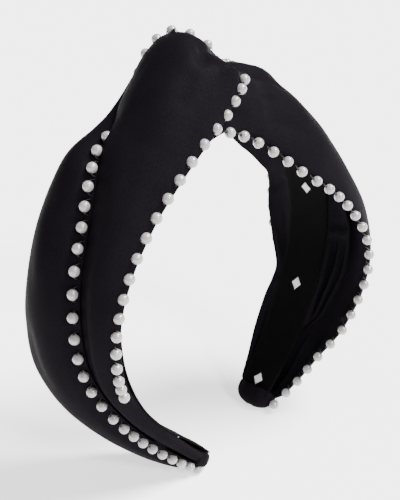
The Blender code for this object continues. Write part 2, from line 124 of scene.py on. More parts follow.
LEG_LENGTH = {side: CROWN_RADIUS[side] * CROWN_ANGLE[side]
              + LEG_RADIUS[side] * (leg_end_angle(side) - CROWN_ANGLE[side]) for side in (-1, 1)}


def band_point(s, y, h):
    """World position of a place on the band, all in metres."""
    side = 1 if s >= 0 else -1
    along = abs(s)
    crown = CROWN_RADIUS[side]
    knee = CROWN_ANGLE[side]
    if along <= crown * knee:
        angle = along / crown
        x = crown * math.sin(angle)
        z = ARCH_HEIGHT - crown * (1 - math.cos(angle))
    else:
        leg = LEG_RADIUS[side]
        angle = knee + (along - crown * knee) / leg
        x = crown * math.sin(knee) + leg * (math.sin(angle) - math.sin(knee))
        z = ARCH_HEIGHT - crown * (1 - math.cos(knee)) - leg * (math.cos(knee) - math.cos(angle))
    twist = TIP_TWIST[side] * (along / LEG_LENGTH[side]) ** 2
    place = Vector((side * (x + math.sin(angle) * h), y + twist, z + math.cos(angle) * h))
    return place + STAND_SHIFT


def smooth_value(table, u, column):
    """A table's column at u, on a smooth curve through its rows."""
    if u <= table[0][0]:
        return table[0][column]
    if u >= table[-1][0]:
        return table[-1][column]
    i = max(k for k in range(len(table) - 1) if table[k][0] <= u)

    def slope(k):
        before = table[max(k - 1, 0)]
        after = table[min(k + 1, len(table) - 1)]
        return (after[column] - before[column]) / (after[0] - before[0])

    width = table[i + 1][0] - table[i][0]
    t = (u - table[i][0]) / width
    start = (2 * t ** 3 - 3 * t ** 2 + 1) * table[i][column] + (t ** 3 - 2 * t ** 2 + t) * width * slope(i)
    end = (3 * t ** 2 - 2 * t ** 3) * table[i + 1][column] + (t ** 3 - t ** 2) * width * slope(i + 1)
    return start + end


def share(s):
    """s over the length of its leg, which is u in the tables."""
    return s / LEG_LENGTH[1 if s >= 0 else -1]


def row_place(table, s):
    """A row's or an edge's (y, h) at arc s, in millimetres."""
    u = share(s)
    return Vector((smooth_value(table, u, 1), smooth_value(table, u, 2)))


def ramp(value, low, high):
    """0 below low, 1 above high, and smooth between them."""
    t = min(max((value - low) / (high - low), 0), 1)
    return t * t * (3 - 2 * t)


def mix(a, b, weight):
    """a at weight 0 and b at weight 1."""
    return a + (b - a) * weight


def directions(a, b, turns_left=True):
    """Unit vectors in the (y, h) plane: from a to b, and to the side that is outward for a strip."""
    along = (b - a).normalized()
    return along, Vector((-along.y, along.x)) if turns_left else Vector((along.y, -along.x))


def swell(t, power):
    """0 at both ends of a strip's width and 1 at its middle; flatter for a smaller power."""
    return math.sin(math.pi * t) ** power if 0 < t < 1 else 0


def band_half_width(s):
    """Half width of the plastic band in millimetres."""
    return CROWN_HALF_WIDTH + (TIP_HALF_WIDTH - CROWN_HALF_WIDTH) * share(s) ** 2


def back_row_left(s):
    """The pearls behind the front wrap, on the leg and round the back of the knot."""
    knot = ramp(share(s), *KNOT_ROW_SPAN)
    return mix(row_place(MIDDLE_ROW_LEFT, s), row_place(KNOT_BACK_ROW, s), knot)


def hidden_row_left(s):
    """The same row, drawn in under the front wrap where that bulges over it beside the knot."""
    back = back_row_left(s)
    front = row_place(FRONT_ROW_LEFT, s)
    along, normal = directions(front, back)
    u = share(s)
    under = ramp(u, *KNOT_BULGE_START) * (1 - ramp(u, *KNOT_BULGE_END))
    inward, down = BULGE_PULL
    return back - (along * inward + normal * down) * under


# ---------------------------------------------------------------- meshes

BROAD_WAVE = (34, 13)           # lengths of the satin's waves along and across the band, in millimetres
FINE_WAVE = (11, 5.5)
FINE_SHARE = 0.35
FOLD_START = (-0.02, 0.3)       # shares of a fold's length over which it rises and dies away
FOLD_END = (0.7, 1.02)
CALM_EDGE = 3                   # millimetres beside a strip's edge in which folds and waves fade
EDGE_LIFT = 0.25                # share of them that is left at the edge
TUCK_SPAN = (-10, -3)           # millimetres from a leg's end over which satin draws in to the tip
TUCK_PULL = 0.45
TUCK_HEIGHT = 3.4
ROLL_POINTS = 3                 # points round a strip's edge, between its outer and inner side


def new_object(name, bm, *materials):
    """A smooth object in the scene from a bmesh, which is used up."""
    bmesh.ops.recalc_face_normals(bm, faces=bm.faces)
    mesh = bpy.data.meshes.new(name)
    bm.to_mesh(mesh)
    bm.free()
    for material in materials:
        mesh.materials.append(material)
    mesh.shade_smooth()
    obj = bpy.data.objects.new(name, mesh)
    bpy.context.scene.collection.objects.link(obj)
    return obj


def loft(bm, rings, index=0):
    """Closed tube through rings of world points, added to bm with the material at index."""
    loops = [[bm.verts.new(point) for point in ring] for ring in rings]
    faces = []
    for first, second in zip(loops, loops[1:]):
        for k in range(len(first)):
            following = (k + 1) % len(first)
            faces.append(bm.faces.new((first[k], first[following], second[following], second[k])))
    faces.append(bm.faces.new(loops[0]))
    faces.append(bm.faces.new(loops[-1]))
    for face in faces:
        face.material_index = index
    return faces


def fold_height(folds, s, v, width):
    """Sum of the folds at arc s and distance v across, all in millimetres.

    A fold is (s0, t0, s1, t1, breadth, height): a soft ridge, or a valley where height is below 0."""
    total = 0
    for s0, t0, s1, t1, breadth, height in folds:
        ax, ay = s0, t0 * width
        bx, by = s1, t1 * width
        dx, dy = bx - ax, by - ay
        k = ((s - ax) * dx + (v - ay) * dy) / (dx * dx + dy * dy)
        near = min(max(k, 0), 1)
        gap = math.hypot(s - ax - dx * near, v - ay - dy * near)
        if gap > 3 * breadth:
            continue
        ends = ramp(near, *FOLD_START) * (1 - ramp(near, *FOLD_END))
        total += height * ends * math.exp(-(gap / breadth) ** 2)
    return total


def ripples(s, v, seed, amount):
    """Small uneven waves of satin, longer along the band than across it."""
    broad = noise.noise(Vector((s / BROAD_WAVE[0], v / BROAD_WAVE[1], seed)))
    fine = noise.noise(Vector((s / FINE_WAVE[0], v / FINE_WAVE[1], seed + 7)))
    return amount * (broad + FINE_SHARE * fine)


def tucked(p, s):
    """A section's point, drawn in towards the band where the satin is gathered into the tip."""
    pull = TUCK_PULL * ramp(abs(s) - LEG_LENGTH[1 if s > 0 else -1] / MM, *TUCK_SPAN)
    return mix(p, Vector((0, TUCK_HEIGHT)), pull)


def strip_line(section, s, points):
    """Points across a strip's outer side, closer together towards its edges."""
    return [section(s * MM, (1 - math.cos(math.pi * k / points)) / 2) for k in range(points + 1)]


def strip_ring(section, depth, s, points, folds, inner_folds, seed, waves):
    """One closed ring of a strip at s millimetres: its outer side, both rolled edges and its inner side."""
    line = strip_line(section, s, points)
    runs = [0]
    for p, q in zip(line, line[1:]):
        runs.append(runs[-1] + (q - p).length)
    width = runs[-1]
    outer = []
    inner = []
    for k, p in enumerate(line):
        before = line[max(k - 1, 0)]
        after = line[min(k + 1, points)]
        along, normal = directions(before, after, section.turns_left)
        v = runs[k]
        clear = ramp(min(v, width - v), 0, CALM_EDGE)
        lift = fold_height(folds, s, v, width) + ripples(s, v, seed, waves)
        p = p + normal * lift * mix(EDGE_LIFT, 1, clear)
        outer.append((p, normal))
        thickness = depth(s * MM, v / width) + fold_height(inner_folds, s, v, width) * clear
        inner.append(p - normal * thickness)
    ring = [p for p, normal in outer]
    ring += rolled(outer[-1][0], inner[-1], outer[-1][1], 1, section.turns_left)
    ring += inner[::-1]
    ring += rolled(inner[0], outer[0][0], outer[0][1], -1, section.turns_left)
    return [tucked(p, s) for p in ring]


def wrap(name, s0, s1, section, depth, folds, seed, material, step=1.3, points=60, waves=0.3,
         inner_folds=(), painted_light_inner=None):
    """Padded satin along the band from s0 to s1 millimetres.

    section(s, t) is a Vector (y, h) on the outer side and depth(s, t) the thickness below it, in
    millimetres. The inner side may take a material of its own, given last: the only one given is a lighter
    satin that paints light onto the shaded inside of the wrap."""
    count = max(int(abs(s1 - s0) / step), 2)
    rings = []
    for i in range(count + 1):
        s = mix(s0, s1, i / count)
        ring = strip_ring(section, depth, s, points, folds, inner_folds, seed, waves)
        rings.append([band_point(s * MM, p.x * MM, p.y * MM) for p in ring])
    bm = bmesh.new()
    faces = loft(bm, rings)
    if painted_light_inner is None:
        return new_object(name, bm, material)
    around = len(rings[0])
    inner_start = points + ROLL_POINTS
    inner_end = inner_start + points + 1
    for number, face in enumerate(faces[:-2]):
        if inner_start <= number % around <= inner_end:
            face.material_index = 1
    return new_object(name, bm, material, painted_light_inner)


def rolled(a, b, normal, way, turns_left):
    """Points of a half circle between the outer and the inner side, round a strip's edge."""
    middle = (a + b) / 2
    radius = (a - b).length / 2
    outward = Vector((normal.y, -normal.x)) * way * (1 if turns_left else -1)
    arm = (a - b) / 2
    points = []
    for k in range(1, ROLL_POINTS + 1):
        turn = math.pi * k / (ROLL_POINTS + 1)
        points.append(middle + arm * math.cos(turn) + outward * radius * math.sin(turn))
    return points


class Section:
    """Outer side of a strip: a curve across the band between two edges."""

    def __init__(self, edges, rise, power=0.6, turns_left=True):
        self.edges = edges
        self.rise = rise
        self.power = power
        self.turns_left = turns_left

    def __call__(self, s, t):
        a, b = self.edges(s)
        along, normal = directions(a, b, self.turns_left)
        return a + (b - a) * t + normal * self.rise(s, t) * swell(t, self.power)


# ---------------------------------------------------------------- materials

def node_material(name):
    """A new material, its node tree and its shader."""
    material = bpy.data.materials.new(name)
    material.use_nodes = True
    tree = material.node_tree
    return material, tree, tree.nodes["Principled BSDF"]


def add(tree, kind, **settings):
    node = tree.nodes.new(kind)
    for key, value in settings.items():
        setattr(node, key, value)
    return node


def stretched(tree, scale):
    """Object coordinates scaled by a different amount along each axis."""
    coordinates = add(tree, "ShaderNodeTexCoord")
    mapping = add(tree, "ShaderNodeMapping")
    mapping.inputs["Scale"].default_value = scale
    tree.links.new(coordinates.outputs["Object"], mapping.inputs["Vector"])
    return mapping.outputs["Vector"]


def noise_node(tree, vector, scale, detail=2.0, roughness=0.5):
    node = add(tree, "ShaderNodeTexNoise")
    node.inputs["Scale"].default_value = scale
    node.inputs["Detail"].default_value = detail
    node.inputs["Roughness"].default_value = roughness
    tree.links.new(vector, node.inputs["Vector"])
    return node


def remap(tree, value, low, high):
    """A noise's value, low where it is dim and high where it is bright."""
    node = add(tree, "ShaderNodeMapRange")
    node.inputs["From Min"].default_value = 0.3
    node.inputs["From Max"].default_value = 0.7
    node.inputs["To Min"].default_value = low
    node.inputs["To Max"].default_value = high
    tree.links.new(value, node.inputs["Value"])
    return node.outputs["Result"]


def colour_mix(tree, factor, dark, light):
    node = add(tree, "ShaderNodeMix", data_type="RGBA")
    node.inputs[6].default_value = (*dark, 1)
    node.inputs[7].default_value = (*light, 1)
    tree.links.new(factor, node.inputs[0])
    return node.outputs[2]


def bump(tree, height, strength, distance, normal=None):
    node = add(tree, "ShaderNodeBump")
    node.inputs["Strength"].default_value = strength
    node.inputs["Distance"].default_value = distance
    tree.links.new(height, node.inputs["Height"])
    if normal is not None:
        tree.links.new(normal, node.inputs["Normal"])
    return node.outputs["Normal"]


def satin_material(name, dark, light, roughness):
    """Heavy black satin: fine twill grain, slow changes of tone, little gloss."""
    material, tree, shader = node_material(name)
    plain = stretched(tree, (1, 1, 1))
    patches = noise_node(tree, plain, 60, 3)
    grain = noise_node(tree, stretched(tree, (1, 1.4, 1)), 1900, 3, 0.75)
    weave = noise_node(tree, stretched(tree, (1, 3.2, 1)), 1100, 2)
    tone = add(tree, "ShaderNodeMath", operation="ADD")
    tree.links.new(remap(tree, patches.outputs["Fac"], 0.1, 0.5), tone.inputs[0])
    tree.links.new(remap(tree, grain.outputs["Fac"], -0.4, 0.9), tone.inputs[1])
    tree.links.new(colour_mix(tree, tone.outputs[0], dark, light), shader.inputs["Base Color"])
    tree.links.new(remap(tree, weave.outputs["Fac"], roughness - 0.05, roughness + 0.07),
                   shader.inputs["Roughness"])
    first = bump(tree, grain.outputs["Fac"], 0.35, 0.00012)
    second = bump(tree, weave.outputs["Fac"], 0.25, 0.0002, first)
    tree.links.new(second, shader.inputs["Normal"])
    shader.inputs["IOR"].default_value = 1.045
    return material


def velvet_material():
    """Matt velvet ribbon: short uneven pile with a faint sheen at grazing angles."""
    material, tree, shader = node_material("lining_velvet")
    plain = stretched(tree, (1, 1, 1))
    pile = noise_node(tree, plain, 3200, 3, 0.7)
    patches = noise_node(tree, plain, 140, 3)
    colour = colour_mix(tree, patches.outputs["Fac"], (0.0012, 0.0012, 0.0013), (0.0028, 0.0026, 0.003))
    tree.links.new(colour, shader.inputs["Base Color"])
    tree.links.new(remap(tree, patches.outputs["Fac"], 0.85, 0.97), shader.inputs["Roughness"])
    tree.links.new(bump(tree, pile.outputs["Fac"], 0.8, 0.0003), shader.inputs["Normal"])
    shader.inputs["IOR"].default_value = 1.1
    shader.inputs["Sheen Weight"].default_value = 0.006
    shader.inputs["Sheen Roughness"].default_value = 0.5
    return material


def pearl_material():
    """Glass pearl: warm grey lustre with cloudy variation under a clear glaze."""
    material, tree, shader = node_material("pearl_lustre")
    plain = stretched(tree, (1, 1, 1))
    cloud = noise_node(tree, plain, 420, 3)
    fine = noise_node(tree, plain, 5200, 2)
    tree.links.new(colour_mix(tree, cloud.outputs["Fac"], (0.2, 0.192, 0.188), (0.3, 0.29, 0.285)),
                   shader.inputs["Base Color"])
    tree.links.new(remap(tree, cloud.outputs["Fac"], 0.2, 0.28), shader.inputs["Roughness"])
    tree.links.new(bump(tree, fine.outputs["Fac"], 0.12, 0.00004), shader.inputs["Normal"])
    shader.inputs["Coat Weight"].default_value = 1.0
    shader.inputs["Coat Roughness"].default_value = 0.07
    return material


def thread_material(name, dark, light):
    """Twisted sewing thread."""
    material, tree, shader = node_material(name)
    strands = noise_node(tree, stretched(tree, (1, 1, 2.5)), 2400, 2)
    tree.links.new(colour_mix(tree, strands.outputs["Fac"], dark, light), shader.inputs["Base Color"])
    tree.links.new(remap(tree, strands.outputs["Fac"], 0.5, 0.7), shader.inputs["Roughness"])
    tree.links.new(bump(tree, strands.outputs["Fac"], 0.5, 0.0002), shader.inputs["Normal"])
    return material


def plastic_material():
    """Moulded black plastic with a faint orange-peel surface."""
    material, tree, shader = node_material("moulded_plastic")
    plain = stretched(tree, (1, 1, 1))
    peel = noise_node(tree, plain, 900, 2)
    tree.links.new(colour_mix(tree, peel.outputs["Fac"], (0.003, 0.003, 0.0032), (0.006, 0.006, 0.0065)),
                   shader.inputs["Base Color"])
    tree.links.new(remap(tree, peel.outputs["Fac"], 0.5, 0.62), shader.inputs["Roughness"])
    tree.links.new(bump(tree, peel.outputs["Fac"], 0.15, 0.0001), shader.inputs["Normal"])
    shader.inputs["IOR"].default_value = 1.08
    return material


SATIN = satin_material("outer_satin", (0.0032, 0.0026, 0.0036), (0.0058, 0.0047, 0.0064), 0.5)
INNER_SATIN = satin_material("inner_satin", (0.0036, 0.0031, 0.0042), (0.0066, 0.0056, 0.0076), 0.52)
# Inner side of the outer wrap: the same satin about four times lighter, painted light where that inside lies
# in shade
PAINTED_LIGHT_FACING_SATIN = satin_material("facing_satin_painted_light", (0.015, 0.013, 0.017), (0.026, 0.022, 0.03), 0.52)
VELVET = velvet_material()
PEARL = pearl_material()
THREAD = thread_material("black_thread", (0.004, 0.004, 0.004), (0.012, 0.012, 0.013))
WHITE_THREAD = thread_material("white_thread", (0.55, 0.54, 0.53), (0.85, 0.84, 0.82))
PLASTIC = plastic_material()


# ---------------------------------------------------------------- sections of the satin wraps

TAPER_START = 0.7               # share of a leg from which the padding thins towards the tip
TAPER_LOSS = 0.45               # share of the padding lost at the tip
EDGE_PADDING = 0.28             # share of the padding that is left at a strip's edges

# Where the wraps' edges lie. Of a pair, the first value is for the leg, and the note says what the
# second is for.
FRONT_OVERHANG = 0.3
FRONT_DROP = (1.5, 3.2)         # below the front pearls; deeper where the plastic band would show
BACK_REACH = (-1.6, 0.5)        # past the back pearls; beyond them at the knot
BACK_DROP = (2.6, 1.9)          # below the back pearls; less at the knot
LIP_REACH = 1.3
LIP_DROP = (1.9, 8)             # below the middle pearls; deeper where the front wrap covers the lip
VALLEY_HIGH = 1.1               # the front wrap's extra rise on the leg, before the valley
VALLEY_DEPTH = 2.6
VALLEY_SPAN = (0.55, 0.95)      # of t
LIP_SPAN = (0.02, 0.22)         # of t, behind the pearls on the back wrap's lip
LIP_LOW = 0.2                   # share of the back wrap's rise at its lip
WAD_DEPTH = 11                  # wad of satin inside the loop of the knot

# Spans of u along the left leg, or of -u towards its tip
BACK_EDGE_SPAN = (-0.27, -0.17)
BARE_START = (0.42, 0.6)
BARE_END = (0.85, 0.97)
VALLEY_CLOSING = (-0.3, -0.2)
LIP_HIDING = (-0.26, -0.18)
WAD_SPAN = (-0.2, -0.07)


def taper(s, full):
    """Padding that thins towards the tip."""
    return full * (1 - TAPER_LOSS * max(abs(share(s)) - TAPER_START, 0) / (1 - TAPER_START))


def front_wrap_edges(s):
    """From under the front pearls to the valley beside the back pearls, or under them at the knot."""
    front = row_place(FRONT_ROW_LEFT, s)
    back = back_row_left(s)
    along, normal = directions(front, back)
    knot = ramp(share(s), *BACK_EDGE_SPAN)
    bare = ramp(-share(s), *BARE_START) * (1 - ramp(-share(s), *BARE_END))
    first = front - along * FRONT_OVERHANG - normal * mix(*FRONT_DROP, bare)
    second = back + along * mix(*BACK_REACH, knot) - normal * mix(*BACK_DROP, knot)
    return first, second


def front_wrap_rise(s, t):
    """A padded middle; on the leg it falls away to the valley along the back pearls."""
    valley = 1 - ramp(share(s), *VALLEY_CLOSING)
    rise = smooth_value(FRONT_WRAP_RISE, share(s), 1)
    return rise + valley * (VALLEY_HIGH - VALLEY_DEPTH * ramp(t, *VALLEY_SPAN))


def back_wrap_edges(s):
    """From the lip that carries the middle pearls to the free edge behind."""
    middle = back_row_left(s)
    edge = row_place(BACK_EDGE_LEFT, s)
    along, normal = directions(middle, edge)
    hidden = ramp(share(s), *LIP_HIDING)
    first = middle - along * LIP_REACH - normal * mix(*LIP_DROP, hidden)
    return first, edge


def back_wrap_rise(s, t):
    """A padded middle that starts low at the lip with the pearls."""
    rise = smooth_value(BACK_WRAP_RISE, share(s), 1)
    return rise * mix(LIP_LOW, 1, ramp(t, *LIP_SPAN))


class OuterSection:
    """Outer side of the outer wrap: from its turned edge behind, over the pearl seat, to the front."""
    turns_left = False
    power = 0.6
    turned_share = 0.14                     # of the strip's width, between the turned edge and the seat
    turned_bulge = 0.8
    seat_offset = Vector((-1.5, 0.8))       # from the pearls' centres, in millimetres
    front_offset = Vector((0.8, 3.8))
    front_turn = Vector((0.4, -2.5))
    front_turn_span = (0.8, 1)
    crown_blend = 6                         # millimetres either side of the crown's middle

    def across(self, back, front, rise, t):
        along, normal = directions(back, front, self.turns_left)
        if normal.y < 0:
            normal = -normal
        return mix(back, front, t) + normal * rise * swell(t, self.power)

    def crown_side(self, s, t):
        """The part that passes under the loop of the knot."""
        back = row_place(BACK_EDGE_LEFT, s)
        front = row_place(UNDER_LOOP_FRONT_EDGE, s)
        return self.across(back, front, smooth_value(OUTER_WRAP_RISE, share(s), 1), t)

    def leg_side(self, s, t):
        edge = row_place(BACK_EDGE_RIGHT, s)
        seat = row_place(BACK_ROW_RIGHT, s) + self.seat_offset
        front = row_place(FRONT_ROW_RIGHT, s) + self.front_offset
        if t < self.turned_share:
            k = t / self.turned_share
            return mix(edge, seat, k) + Vector((self.turned_bulge * math.sin(math.pi * k), 0))
        k = (t - self.turned_share) / (1 - self.turned_share)
        place = self.across(seat, front, smooth_value(OUTER_WRAP_RISE, share(s), 1), k)
        return place + self.front_turn * ramp(k, *self.front_turn_span)

    def __call__(self, s, t):
        weight = ramp(s / MM, -self.crown_blend, self.crown_blend)
        if weight == 0:
            return self.crown_side(s, t)
        if weight == 1:
            return self.leg_side(s, t)
        return mix(self.crown_side(min(s, 0), t), self.leg_side(max(s, 0), t), weight)


FRONT_WRAP = Section(front_wrap_edges, front_wrap_rise, 0.62)
BACK_WRAP = Section(back_wrap_edges, back_wrap_rise, 0.7)
OUTER_WRAP = OuterSection()


def pillow(full):
    """Depth of a padded strip, full millimetres in its middle."""
    def depth(s, t):
        return taper(s, full) * mix(EDGE_PADDING, 1, swell(t, 0.6))
    return depth


def even(amount):
    """The same depth or rise all over a thin layer."""
    def value(s, t):
        return amount
    return value


# ---------------------------------------------------------------- the pieces

def blend_half(obj):
    """Bakes a piece's placement into its mesh."""
    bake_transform(obj)


# Folds as (s0, t0, s1, t1, breadth, height), all but t0 and t1 in millimetres: see fold_height
FRONT_FOLDS = (
    (-70, 0.16, -125, 0.2, 5, 0.5),
    (-45, 0.3, -88, 0.55, 6, 0.5),
    (-20, 0.62, -60, 0.42, 5, -0.5),
    (-1, 0.55, -9, 0.33, 3.2, -3.6),
    (-12, 0.4, -24, 0.3, 4, -0.8),
    (-6, 0.31, 1, 0.08, 1.9, 2.3),
    (-3, 0.45, 11, 0.3, 4.5, -3.5),
)
BACK_FOLDS = (
    (-95, 0.8, -125, 0.55, 5, -0.7),
    (-60, 0.75, -85, 0.45, 5, 0.6),
    (-140, 0.75, -168, 0.5, 3, -0.7),
    (-132, 0.9, -150, 0.6, 3, -0.6),
)
OUTER_FOLDS = (
    (3, 0.48, 34, 0.56, 1.7, -1.5),
    (8, 0.4, 36, 0.46, 2.2, 1.1),
    (4, 0.66, 26, 0.7, 1.6, -1.0),
    (8, 0.86, 42, 0.8, 3, -0.8),
    (60, 0.35, 110, 0.55, 7, 0.5),
    (120, 0.3, 155, 0.6, 5, -0.5),
)


def front_depth(s, t):
    """The wrap's own padding, and the wad that fills the loop of the knot."""
    wad = WAD_DEPTH * ramp(share(s), *WAD_SPAN)
    return pillow(2.6)(s, t) + wad * swell(t, 0.7)


front_wrap = wrap("satin_front_wrap", -179, 12, FRONT_WRAP, front_depth, FRONT_FOLDS, 1, SATIN)
blend_half(front_wrap)
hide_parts("left_front_strip", "knot_over_loop", "knot_foam_pad", "left_foam_pad")

back_wrap = wrap("satin_back_wrap", -180, -2, BACK_WRAP, pillow(2.8), BACK_FOLDS, 2, SATIN)
blend_half(back_wrap)
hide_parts("left_back_strip")

OUTER_INNER_FOLDS = (
    (128, 0.74, 129, 0.99, 1.6, 1.8),
    (131.5, 0.74, 132.5, 0.99, 1.4, -1.2),
    (138, 0.52, 173, 0.7, 1.3, 1.3),
    (137, 0.62, 172, 0.8, 1.1, -1.2),
    (135, 0.72, 171, 0.88, 1.3, 1.2),
    (134, 0.84, 168, 0.95, 1.2, -1.0),
    (70, 0.75, 126, 0.8, 3, -1.0),
)
# Its inner side takes the lighter facing satin: painted light on the shaded inside of the wrap
outer_wrap = wrap("satin_outer_wrap", -22, 174.5, OUTER_WRAP, pillow(2.4), OUTER_FOLDS, 3, SATIN,
                  inner_folds=OUTER_INNER_FOLDS, painted_light_inner=PAINTED_LIGHT_FACING_SATIN)
blend_half(outer_wrap)
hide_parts("right_outer_strip", "knot_under_loop", "crown_foam_pad", "right_foam_pad")


# ---------------------------------------------------------------- ribbon and inner layers

RIBBON_MARGIN = 0.8             # millimetres that the ribbon reaches past the band on each side
RIBBON_GAP = 0.3
RIBBON_THICKNESS = 0.75
RIBBON_LIFT = 1.1
LIFT_START = (0.8, 0.88)
LIFT_END = (0.93, 0.99)
EDGE_ROUND = 1.5                # millimetres over which the ribbon's edge rounds off
EDGE_THINNING = 0.25
PILE_WAVE = (9, 7)
PILE_HEIGHT = 0.12


def ribbon_lift(s):
    """The glued ribbon has come away a little from the left tip, in millimetres."""
    u = share(s)
    return RIBBON_LIFT * ramp(-u, *LIFT_START) * (1 - ramp(-u, *LIFT_END))


def ribbon_face(s, half, drop, points):
    """The ribbon's visible face at s, as (y, h) in millimetres: slightly uneven, with rounded edges."""
    face = []
    for k in range(points + 1):
        y = mix(-half, half, k / points)
        uneven = PILE_HEIGHT * noise.noise(Vector((s / MM / PILE_WAVE[0], y / PILE_WAVE[1], 31)))
        rounding = EDGE_THINNING * (1 - ramp(half - abs(y), 0, EDGE_ROUND))
        face.append(Vector((y, -drop - RIBBON_THICKNESS - uneven + rounding)))
    return face


def ribbon_half(name, side, end):
    """The lining from the crown to a tip, and its area."""
    count = 110
    across = 24
    rings = []
    area = 0
    for i in range(count + 1):
        s = side * end * MM * i / count
        half = band_half_width(s) + RIBBON_MARGIN
        area += 2 * half * MM * end * MM / count
        drop = RIBBON_GAP + ribbon_lift(s)
        low = ribbon_face(s, half, drop, across)
        high = [Vector((p.x, -drop)) for p in low[::-1]]
        rings.append([band_point(s, p.x * MM, p.y * MM) for p in low + high])
    bm = bmesh.new()
    loft(bm, rings)
    obj = new_object(name, bm, VELVET)
    return obj, area


STITCHES = 9                    # side by side in one diamond
STITCH_RADIUS = 0.26
STITCH_TIP = 0.02               # what is left of the radius at a stitch's ends
STITCH_FLATNESS = 0.6
STITCH_END = 0.25               # millimetres that a stitch runs on past the diamond's outline
DIAMOND_HALF_LENGTH = 2.7
DIAMOND_HALF_WIDTH = 2.1
DIAMOND_HEIGHT = -1.12          # of the stitches' middle, below the band's inside face
FIRST_DIAMOND = 31              # millimetres from the crown
DIAMOND_PITCH = 45
DIAMOND_CLEARANCE = 5           # least distance from the last diamond to the ribbon's end


def diamond(bm, s):
    """A stitched diamond on the ribbon: threads side by side, each a small raised bead."""
    height = DIAMOND_HEIGHT - ribbon_lift(s)
    turns = [math.tau * m / 8 for m in range(8)]
    slices = 6
    for k in range(STITCHES):
        y = mix(-DIAMOND_HALF_WIDTH, DIAMOND_HALF_WIDTH, (k + 0.5) / STITCHES)
        reach = DIAMOND_HALF_LENGTH * (1 - abs(y) / DIAMOND_HALF_WIDTH) + STITCH_END
        rings = []
        for j in range(slices + 1):
            w = math.cos(math.pi * j / slices)
            radius = STITCH_RADIUS * math.sqrt(max(1 - w * w, 0)) + STITCH_TIP
            centre_s = s + reach * w * MM
            rings.append([band_point(centre_s, (y + radius * math.cos(a)) * MM,
                                     (height - STITCH_FLATNESS * radius * math.sin(a)) * MM) for a in turns])
        loft(bm, rings)


def motifs(name, side, last):
    """Diamonds along a leg's ribbon, from near the crown to last millimetres."""
    bm = bmesh.new()
    place = FIRST_DIAMOND
    while place <= last:
        diamond(bm, side * place * MM)
        place += DIAMOND_PITCH
    return new_object(name, bm, WHITE_THREAD)


for side, word, end in ((-1, "left", 177.5), (1, "right", 172)):
    ribbon, ribbon_area = ribbon_half("ribbon_" + word, side, end)
    blend_half(ribbon)
    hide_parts("crown_lining", word + "_lining")
    stitched = motifs("ribbon_diamonds_" + word, side, end - DIAMOND_CLEARANCE)
    blend_half(stitched)


RIBBON_SIDE = 0.2               # millimetres between the band's side and the satin beside the ribbon
LEAF_START_HEIGHT = 0.4
LEAF_END_LIFT = 1.2             # above the edge that the layer is folded into
LEAF_LEAST = 2                  # least width of an inner layer
RIGHT_LEAF_ENDS = (50, 138)     # where each layer starts and ends along the band, in millimetres
LEFT_LEAF_ENDS = (-38, -172)
HEM_ENDS = (-21, 172)
HEM_START_HEIGHT = 0.2
HEM_END_OFFSET = Vector((-0.5, 0.1))
HEM_LEAST = 0.8


def leaf_edges(edge_table, inset):
    """A layer of satin between the ribbon's edge and a strip's overhanging edge."""
    def edges(s):
        edge = row_place(edge_table, s)
        way = 1 if edge.x > 0 else -1
        start = Vector((way * (band_half_width(s) + RIBBON_SIDE), LEAF_START_HEIGHT))
        end = Vector((edge.x - way * inset, edge.y + LEAF_END_LIFT))
        if abs(end.x) < abs(start.x) + LEAF_LEAST:
            end.x = start.x + way * LEAF_LEAST
        return start, end
    return edges


PLEATS_RIGHT = tuple((93, 0.16 + 0.2 * k, 136, 0.1 + 0.2 * k, 1.1, 1.5 if k % 2 else -1.4)
                     for k in range(5)) + ((92, -0.5, 90, 1.5, 1.6, 0.8), (96, -0.5, 94, 1.5, 1.5, -0.6))
PLEATS_LEFT = tuple((-60 - 6 * k, 0.15 + 0.17 * k, -150, 0.2 + 0.12 * k, 2, -1 if k % 2 else 0.8)
                    for k in range(5))

right_leaf_section = Section(leaf_edges(LEAF_EDGE_RIGHT, 0), even(1.6), 0.8, turns_left=False)
right_leaf = wrap("satin_inner_leaf_right", *RIGHT_LEAF_ENDS, right_leaf_section, even(0.9), PLEATS_RIGHT, 4,
                  INNER_SATIN, step=0.8, points=50, waves=0.5)
blend_half(right_leaf)
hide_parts("right_inner_layer")

left_leaf_section = Section(leaf_edges(BACK_EDGE_LEFT, 1.5), even(1.2), 0.8)
left_leaf = wrap("satin_inner_leaf_left", *LEFT_LEAF_ENDS, left_leaf_section, even(1.0), PLEATS_LEFT, 5,
                 INNER_SATIN, points=44)
blend_half(left_leaf)
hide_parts("left_inner_layer")


def hem_edges(s):
    """From the ribbon's back edge out to the outer wrap's edge, on the leg and under the knot."""
    start = Vector((band_half_width(s) + RIBBON_SIDE, HEM_START_HEIGHT))
    end = row_place(BACK_EDGE_RIGHT if s > 0 else BACK_EDGE_LEFT, s) + HEM_END_OFFSET
    if end.x < start.x + HEM_LEAST:
        end.x = start.x + HEM_LEAST
    return start, end


HEM_FOLDS = (
    (74, 0.1, 84, 0.95, 1.6, 0.8),
    (86, 0.4, 116, 0.2, 1.6, 0.7),
    (98, 0.8, 120, 0.5, 1.5, -0.8),
    (122, 0.2, 126, 0.9, 1.3, -0.7),
    (128, 0.5, 160, 0.5, 1.2, 0.6),
)
hem = wrap("satin_hem_right", *HEM_ENDS, Section(hem_edges, even(0.5), 0.8), even(0.8), HEM_FOLDS, 6,
           INNER_SATIN, step=1.0, points=24, waves=0.5)
blend_half(hem)


# ---------------------------------------------------------------- tips

TIP_PLEATS = 9
TIP_PLEAT_DEPTH = 0.03          # of the tip's half width
TIP_SQUARENESS = 0.82           # 1 is an ellipse; below 1 the tip's section is squarer
TIP_BLUNTNESS = 3.2
TIP_CLOSING = 0.985
TABLE_GAP = 0.05 * MM


